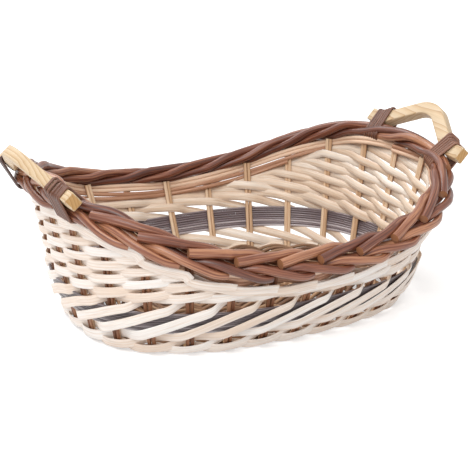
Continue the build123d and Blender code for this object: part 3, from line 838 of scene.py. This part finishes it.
def border_radius(share, buds):
    """Half the thickness of a rod that tapers from its butt, with a swelling at each bud."""
    radius = BORDER_BUTT_DIAMETER / 2 + (BORDER_TIP_DIAMETER - BORDER_BUTT_DIAMETER) / 2 * share
    for place, swell in buds:
        radius += swell * math.exp(-(((share - place) / BUD_LENGTH_SHARE) ** 2))
    return radius


# Brown willow in its bark: red brown and satin, with long streaks, and duller cut ends.
border_willow = willow(
    "brown_willow_border", outside=("#4f2417", "#844c35", "#bb8360"), cut="#a5714e",
    roughness=0.36, streak=(60.0, 1.3), coat=0.18, tone_share=0.28,
)
for k in range(STAKE_COUNT):
    rod = Skin(seed=200 + k)
    buds = []
    for _ in range(BUD_COUNT):
        buds.append((rod.draw.uniform(*BUD_PLACE_SHARES), rod.draw.uniform(*BUD_SWELLINGS)))
    line, outs = [], []
    last_row = len(BORDER_PATH_SHARES) - 2
    for i in range(last_row + 1):
        for j in range(BORDER_STEPS_PER_ROW + (1 if i == last_row else 0)):
            passed, across_share, through_share = between(BORDER_PATH_SHARES, i, j / BORDER_STEPS_PER_ROW)
            _, _, across, through = border_frame(k + passed)
            line.append(border_place(k + passed, across_share, through_share))
            outs.append((across + through).normalized())
    round_rod(rod, line, outs, lambda share: border_radius(share, buds), sides=16)
    rod.piece(f"plaited_border_rod_{k + 1:02d}", border_willow, "border_willow", f"border_rod_{k + 1:02d}")


# Handles: two bows sawn from a pale softwood board about 10 mm thick, with their edges eased by
# sanding. Their feet lie on the border and are tied there.

HANDLE_FACE_WIDTH = 13.5
HANDLE_THICKNESS = 10.5
HANDLE_SEAT_RISE = -1.2
HANDLE_LENGTH = 161.0
HANDLE_RISE = 29.0
HANDLE_LOW_HALF_SPAN = 59.0
HANDLE_TOP_HALF_SPAN = 10.0
HANDLE_LOW_RADIUS = 22.0
HANDLE_TOP_RADIUS = 34.0
HANDLE_BEND_STEPS = 8
HANDLE_EDGE_RADIUS = 1.4
HANDLE_EDGE_STEPS = 3
HANDLE_END_BEVEL = 1.0
HANDLE_END_EDGE_SHARE = 0.3
BORDER_CROWN_SHARE = max(through_share for _, _, through_share in BORDER_PATH_SHARES)
BORDER_CROWN = BORDER_ROD_DIAMETER / 2
BORDER_CROWN += BORDER_CROWN_SHARE * (BORDER_HALF_THICKNESS - BORDER_ROD_DIAMETER / 2)
RING_SPACING = 3.6
RING_TILT = 0.45
RING_DRIFT = 6.6
RING_DRIFT_LENGTH = 70
RING_DRIFT_WIDTH = 12
# Pine fibres are finer than this. They are drawn as wide as they need to be to show.
PINE_FIBRE_LENGTH = 25.0
PINE_FIBRE_WIDTH = 0.5
PINE_FIBRE_DEPTH = 0.1
PINE_FIBRE_LIGHT_SHARES = (0.9, 1.04)


def handle_frame(ties_y, end):
    """Middle of a handle's board between its ties, with its chord, rise and thickness."""
    first, _, _, _ = border_frame(rim_number(ties_y[0], end))
    second, _, _, _ = border_frame(rim_number(ties_y[1], end))
    chord = (second - first).normalized() * end
    out = chord.cross(UP).normalized()
    lean = out * math.sin(BORDER_TILT) + UP * math.cos(BORDER_TILT)
    board = chord.cross(lean).normalized()
    lean = board.cross(chord)
    seat = BORDER_CROWN + HANDLE_SEAT_RISE + HANDLE_FACE_WIDTH / 2
    return (first + second) * 0.5 + lean * seat, chord, lean, board


# Sanded pine: pale tan wood with darker growth lines along the board, and a dull satin face.
def pine(name, chord, lean, board):
    """Pine whose growth lines follow the board that one handle was sawn from."""
    material = bpy.data.materials.new(name)
    tree = empty_tree(material)
    place = add(tree, "ShaderNodeTexCoord").outputs["Object"]
    parts = []
    for axis in (chord, lean, board):
        along = add(
            tree, "ShaderNodeVectorMath", {"operation": "DOT_PRODUCT", 1: tuple(axis * PER_METRE)}, {0: place}
        )
        parts.append(along.outputs["Value"])
    grain = add(tree, "ShaderNodeCombineXYZ", None, {"X": parts[0], "Y": parts[1], "Z": parts[2]})
    noises = []
    for length, width, detail in (
        (RING_DRIFT_LENGTH, RING_DRIFT_WIDTH, 2.0),
        (PINE_FIBRE_LENGTH, PINE_FIBRE_WIDTH, 3.0),
    ):
        scale = (1 / length, 1 / width, 1 / width)
        mapped = add(tree, "ShaderNodeMapping", {"Scale": scale}, {"Vector": grain.outputs[0]})
        noise = add(
            tree, "ShaderNodeTexNoise", {"Scale": 1.0, "Detail": detail}, {"Vector": mapped.outputs["Vector"]}
        )
        noises.append(noise.outputs["Fac"])
    drift, fibres = noises
    across = add(
        tree, "ShaderNodeMath", {"operation": "MULTIPLY_ADD", 1: RING_TILT}, {0: parts[1], 2: parts[2]}
    )
    across = add(
        tree, "ShaderNodeMath", {"operation": "MULTIPLY", 1: 1 / RING_SPACING}, {0: across.outputs[0]}
    )
    rings = add(
        tree, "ShaderNodeMath", {"operation": "MULTIPLY_ADD", 1: RING_DRIFT / RING_SPACING},
        {0: drift, 2: across.outputs[0]},
    )
    ring = add(tree, "ShaderNodeMath", {"operation": "FRACT"}, {0: rings.outputs[0]})
    stops = [(0.0, linear("#d6bf9f")), (0.5, linear("#d2b893")), (0.84, linear("#c6a67e"))]
    stops += [(0.96, linear("#b4906a")), (1.0, linear("#d4bb98"))]
    colour = add(tree, "ShaderNodeValToRGB", {"stops": stops}, {"Fac": ring.outputs[0]})
    light = add(
        tree, "ShaderNodeMapRange",
        {
            "From Min": STREAK_STOPS[0], "From Max": STREAK_STOPS[-1],
            "To Min": PINE_FIBRE_LIGHT_SHARES[0], "To Max": PINE_FIBRE_LIGHT_SHARES[1],
        },
        {"Value": fibres},
    )
    colour = add(
        tree, "ShaderNodeMixRGB", {"blend_type": "MULTIPLY", "Fac": 1.0},
        {"Color1": colour.outputs["Color"], "Color2": light.outputs[0]},
    )
    end = add(tree, "ShaderNodeAttribute", {"attribute_name": "cut"}).outputs["Fac"]
    colour = add(
        tree, "ShaderNodeMixRGB", {"blend_type": "MULTIPLY", "Color2": linear("#e6cda2")},
        {"Fac": end, "Color1": colour.outputs["Color"]},
    )
    bump = add(
        tree, "ShaderNodeBump", {"Strength": 0.4, "Distance": PINE_FIBRE_DEPTH * MM}, {"Height": fibres}
    )
    shader = add(
        tree, "ShaderNodeBsdfPrincipled", {"Roughness": 0.5, "IOR": WOOD_IOR},
        {"Base Color": colour.outputs["Color"], "Normal": bump.outputs["Normal"]},
    )
    add(tree, "ShaderNodeOutputMaterial", None, {"Surface": shader.outputs["BSDF"]})
    return material


def bow_line():
    """The middle line of a bow, as places along its chord and above its feet."""
    half, low, top = HANDLE_LENGTH / 2, HANDLE_LOW_HALF_SPAN, HANDLE_TOP_HALF_SPAN
    corners = [(-half, 0), (-low, 0), (-top, HANDLE_RISE), (top, HANDLE_RISE), (low, 0), (half, 0)]
    corners = [Vector(corner) for corner in corners]
    radii = (HANDLE_LOW_RADIUS, HANDLE_TOP_RADIUS, HANDLE_TOP_RADIUS, HANDLE_LOW_RADIUS)
    bevel = Vector((HANDLE_END_BEVEL, 0))
    line = [corners[0], corners[0] + bevel]
    for before, corner, after, radius in zip(corners, corners[1:], corners[2:], radii):
        way_in, way_out = (corner - before).normalized(), (after - corner).normalized()
        side = Vector((-way_in.y, way_in.x))
        turn = math.atan2(side.dot(way_out), way_in.dot(way_out))
        start = corner - way_in * (radius * math.tan(abs(turn) / 2))
        for j in range(HANDLE_BEND_STEPS + 1):
            part = abs(turn) * j / HANDLE_BEND_STEPS
            bend = side * math.copysign(radius * (1 - math.cos(part)), turn)
            line.append(start + way_in * (radius * math.sin(part)) + bend)
    return line + [corners[-1] - bevel, corners[-1]]


def board_section(edge):
    """The sawn section of a bow. Its edges are rounded by sanding, and less so at its ends."""
    points = []
    for turn, side_a, side_b in ((0, 1, 1), (1, -1, 1), (2, -1, -1), (3, 1, -1)):
        for j in range(HANDLE_EDGE_STEPS + 1):
            angle = (turn + j / HANDLE_EDGE_STEPS) * math.pi / 2
            a = side_a * (HANDLE_FACE_WIDTH / 2 - HANDLE_EDGE_RADIUS) + edge * math.cos(angle)
            b = side_b * (HANDLE_THICKNESS / 2 - HANDLE_EDGE_RADIUS) + edge * math.sin(angle)
            points.append((a, b))
    return points


for side, ties_y, end in (("right", RIGHT_TIES_Y, 1), ("left", LEFT_TIES_Y, -1)):
    middle, chord, lean, board = handle_frame(ties_y, end)
    bow = Skin(seed=20)
    line = bow_line()
    last = len(line) - 1
    centres = [middle + chord * point.x + lean * point.y for point in line]
    wides = [board.cross(way) for way in directions(centres)]
    edges = [HANDLE_EDGE_RADIUS] * len(line)
    edges[0] = edges[last] = HANDLE_EDGE_RADIUS * HANDLE_END_EDGE_SHARE
    bow.carry(centres, wides, [board] * len(line), lambda share: board_section(edges[round(share * last)]))
    sanded_pine = pine(f"sanded_pine_{side}", chord, lean, board)
    bow.piece(f"pine_bow_handle_{side}", sanded_pine, "handle_pine", f"handle_{side}")


# Bindings: flat cane, soaked and wound six times round the border and a foot of a handle at each
# tie. It starts and ends underneath, and is dyed dark brown to match the border.

CANE_WIDTH = 3.1
CANE_THICKNESS = 2.1
# Each pair: the shares of half the width and of half the thickness, from the edge to the crown.
CANE_FACE_SHARES = ((1.0, -0.5), (0.85, 0.3), (0.5, 0.85))
CANE_BACK_INSET = 0.4
CANE_TURNS = 6
CANE_PITCH = 3.35
CANE_INNER_SHARE = 0.5
CANE_STEPS_PER_TURN = 48
CANE_CLEARANCE = 0.3

# Dyed chair cane: hard dark brown skin with a low gloss and fine lines along it.
cane_skin = willow(
    "dyed_glossy_cane", outside=("#3c1f15", "#633a28", "#8f6048"), cut="#8b6a58",
    roughness=0.42, streak=(40.0, 0.7), coat=0.1, tone_share=0.4,
)


def bow_place(run):
    """Height and slope of a handle's middle line near its feet, at a place along its chord."""
    slope = math.atan2(HANDLE_RISE, HANDLE_LOW_HALF_SPAN - HANDLE_TOP_HALF_SPAN)
    bend_start = HANDLE_LOW_HALF_SPAN + HANDLE_LOW_RADIUS * math.tan(slope / 2)
    inside = max(bend_start - abs(run), 0)
    if inside < HANDLE_LOW_RADIUS * math.sin(slope):
        turn = math.asin(inside / HANDLE_LOW_RADIUS)
        return HANDLE_LOW_RADIUS * (1 - math.cos(turn)), turn
    return (HANDLE_LOW_HALF_SPAN - abs(run)) * math.tan(slope), slope


def cane_section():
    """A flat strip with rounded edges and a slightly crowned face."""
    a, b = CANE_WIDTH / 2, CANE_THICKNESS / 2
    face = [(-a * wide, b * high) for wide, high in CANE_FACE_SHARES]
    return mirrored(face, (0.0, b)) + [(a - CANE_BACK_INSET, -b), (-a + CANE_BACK_INSET, -b)]


def bind(skin, tie_y, ties_y, end):
    """Winds one length of flat cane round the border and the foot of a handle."""
    number = rim_number(tie_y, end)
    middle, ahead, across, through = border_frame(number)
    after, _, _, _ = border_frame(number + STAKE_STEP)
    stake_gap = (after - middle).length / STAKE_STEP
    origin, chord, lean, board = handle_frame(ties_y, end)
    board_reach = HANDLE_THICKNESS / 2 - HANDLE_EDGE_RADIUS
    knots, normals = [], []
    for i in range(CANE_TURNS * CANE_STEPS_PER_TURN + 1):
        turn = 2 * math.pi * i / CANE_STEPS_PER_TURN - math.pi / 2
        normal = across * math.cos(turn) + through * math.sin(turn)
        along = CANE_PITCH * (i / CANE_STEPS_PER_TURN - CANE_TURNS / 2)
        here = number + along / stake_gap
        # The cane lies taut over whichever round of the border or edge of the board is farthest out.
        rounds = []
        for _, across_share, through_share in BORDER_PATH_SHARES:
            across_share *= CANE_INNER_SHARE if across_share < 0 else 1
            rounds.append((border_place(here, across_share, through_share), BORDER_ROD_DIAMETER / 2))
        run = (along - (origin - middle).dot(ahead)) / chord.dot(ahead)
        rise, slope = bow_place(run)
        lean_reach = HANDLE_FACE_WIDTH / 2 / math.cos(slope) - HANDLE_EDGE_RADIUS
        for lean_side in (-1, 1):
            for board_side in (-1, 1):
                edge = origin + lean * (rise + lean_side * lean_reach) + board * (board_side * board_reach)
                run = (along - (edge - middle).dot(ahead)) / chord.dot(ahead)
                rounds.append((edge + chord * run, HANDLE_EDGE_RADIUS))
        place, radius = max(rounds, key=lambda item: item[0].dot(normal) + item[1])
        knot = place + normal * (radius + CANE_CLEARANCE + CANE_THICKNESS / 2)
        knots.append(knot + ahead * (along - (knot - middle).dot(ahead)))
        normals.append(normal)
    wides, outs = square_to(directions(knots), normals)
    section = cane_section()
    skin.carry(knots, wides, outs, lambda share: section)


for place, seed, tie_y, ties_y, end in (
    ("right_front", 311, RIGHT_TIES_Y[0], RIGHT_TIES_Y, 1),
    ("right_back", 310, RIGHT_TIES_Y[1], RIGHT_TIES_Y, 1),
    ("left_front", 310, LEFT_TIES_Y[0], LEFT_TIES_Y, -1),
    ("left_back", 309, LEFT_TIES_Y[1], LEFT_TIES_Y, -1),
):
    tie = Skin(seed)
    bind(tie, tie_y, ties_y, end)
    tie.piece(f"cane_binding_{place}", cane_skin, "dark_cane", "handle_bindings")


# Studio: a white paper floor that keeps the basket's shadow, one broad soft lamp above the
# front left and another above the back, and an even light from all round. Sizes are in metres.

WHITE = (1.0, 1.0, 1.0, 1.0)
FLOOR_SIDE = 14.0
FLOOR_GLOW = 0.43
WORLD_STRENGTH = 0.64
LAMP_SIZE = 1.6
LAMP_DISTANCE = 2.4
KEY_POWER = 30.0
KEY_AZIMUTH = math.radians(-42)
KEY_ELEVATION = math.radians(48)
BACK_POWER = 26.0
BACK_AZIMUTH = math.radians(-160)
BACK_ELEVATION = math.radians(52)


def background_rays(tree):
    """Is 1 where the camera looks, also by a reflection or through something clear, and else 0."""
    path = add(tree, "ShaderNodeLightPath")
    seen = path.outputs["Is Camera Ray"]
    for kind in ("Is Glossy Ray", "Is Transmission Ray"):
        either = add(tree, "ShaderNodeMath", {"operation": "MAXIMUM"}, {0: seen, 1: path.outputs[kind]})
        seen = either.outputs[0]
    return seen


scene = bpy.context.scene
scene.view_settings.view_transform = "Standard"
world = bpy.data.worlds.new("studio")
scene.world = world
tree = empty_tree(world)
strength = add(
    tree, "ShaderNodeMapRange", {"To Min": WORLD_STRENGTH, "To Max": 1.0}, {"Value": background_rays(tree)}
)
sky = add(tree, "ShaderNodeBackground", {"Color": WHITE}, {"Strength": strength.outputs[0]})
add(tree, "ShaderNodeOutputWorld", None, {"Surface": sky.outputs["Background"]})

# Matt white paper, which shows white to the camera and a soft shadow under the basket.
paper = bpy.data.materials.new("white_paper")
tree = empty_tree(paper)
glow = add(
    tree, "ShaderNodeMath", {"operation": "MULTIPLY", 1: FLOOR_GLOW}, {0: background_rays(tree)}
)
matt = add(tree, "ShaderNodeBsdfDiffuse", {"Color": linear("#ececec")})
shine = add(tree, "ShaderNodeEmission", {"Color": WHITE}, {"Strength": glow.outputs[0]})
both = add(tree, "ShaderNodeAddShader", None, {0: matt.outputs["BSDF"], 1: shine.outputs["Emission"]})
add(tree, "ShaderNodeOutputMaterial", None, {"Surface": both.outputs["Shader"]})

bpy.ops.mesh.primitive_plane_add(size=FLOOR_SIDE)
floor = bpy.context.object
floor.name = "floor"
floor.data.materials.append(paper)

for name, power, azimuth, elevation in (
    ("key", KEY_POWER, KEY_AZIMUTH, KEY_ELEVATION),
    ("back", BACK_POWER, BACK_AZIMUTH, BACK_ELEVATION),
):
    lamp = bpy.data.lights.new(name, "AREA")
    lamp.shape = "DISK"
    lamp.size = LAMP_SIZE
    lamp.energy = power
    holder = bpy.data.objects.new(name, lamp)
    scene.collection.objects.link(holder)
    level = math.cos(elevation)
    towards = Vector((math.sin(azimuth) * level, -math.cos(azimuth) * level, math.sin(elevation)))
    holder.location = towards * LAMP_DISTANCE
    holder.rotation_mode = "QUATERNION"
    holder.rotation_quaternion = towards.to_track_quat("Z", "Y")


# Camera: it looks at the basket from the front left and from above, at the photograph's viewing
# angle, through a long lens. Its place is in millimetres.

CAMERA_PLACE = Vector((-499.1, -904.6, 394.7))
CAMERA_TARGET = Vector((0.47, 0.0, 63.35))
CAMERA_LENS = 87.2
CAMERA_SENSOR = 36.0

camera = bpy.data.objects.new("camera", bpy.data.cameras.new("camera"))
scene.collection.objects.link(camera)
camera.data.lens = CAMERA_LENS
camera.data.sensor_width = CAMERA_SENSOR
camera.location = CAMERA_PLACE * MM
camera.rotation_mode = "QUATERNION"
camera.rotation_quaternion = (CAMERA_PLACE - CAMERA_TARGET).to_track_quat("Z", "Y")
scene.camera = camera
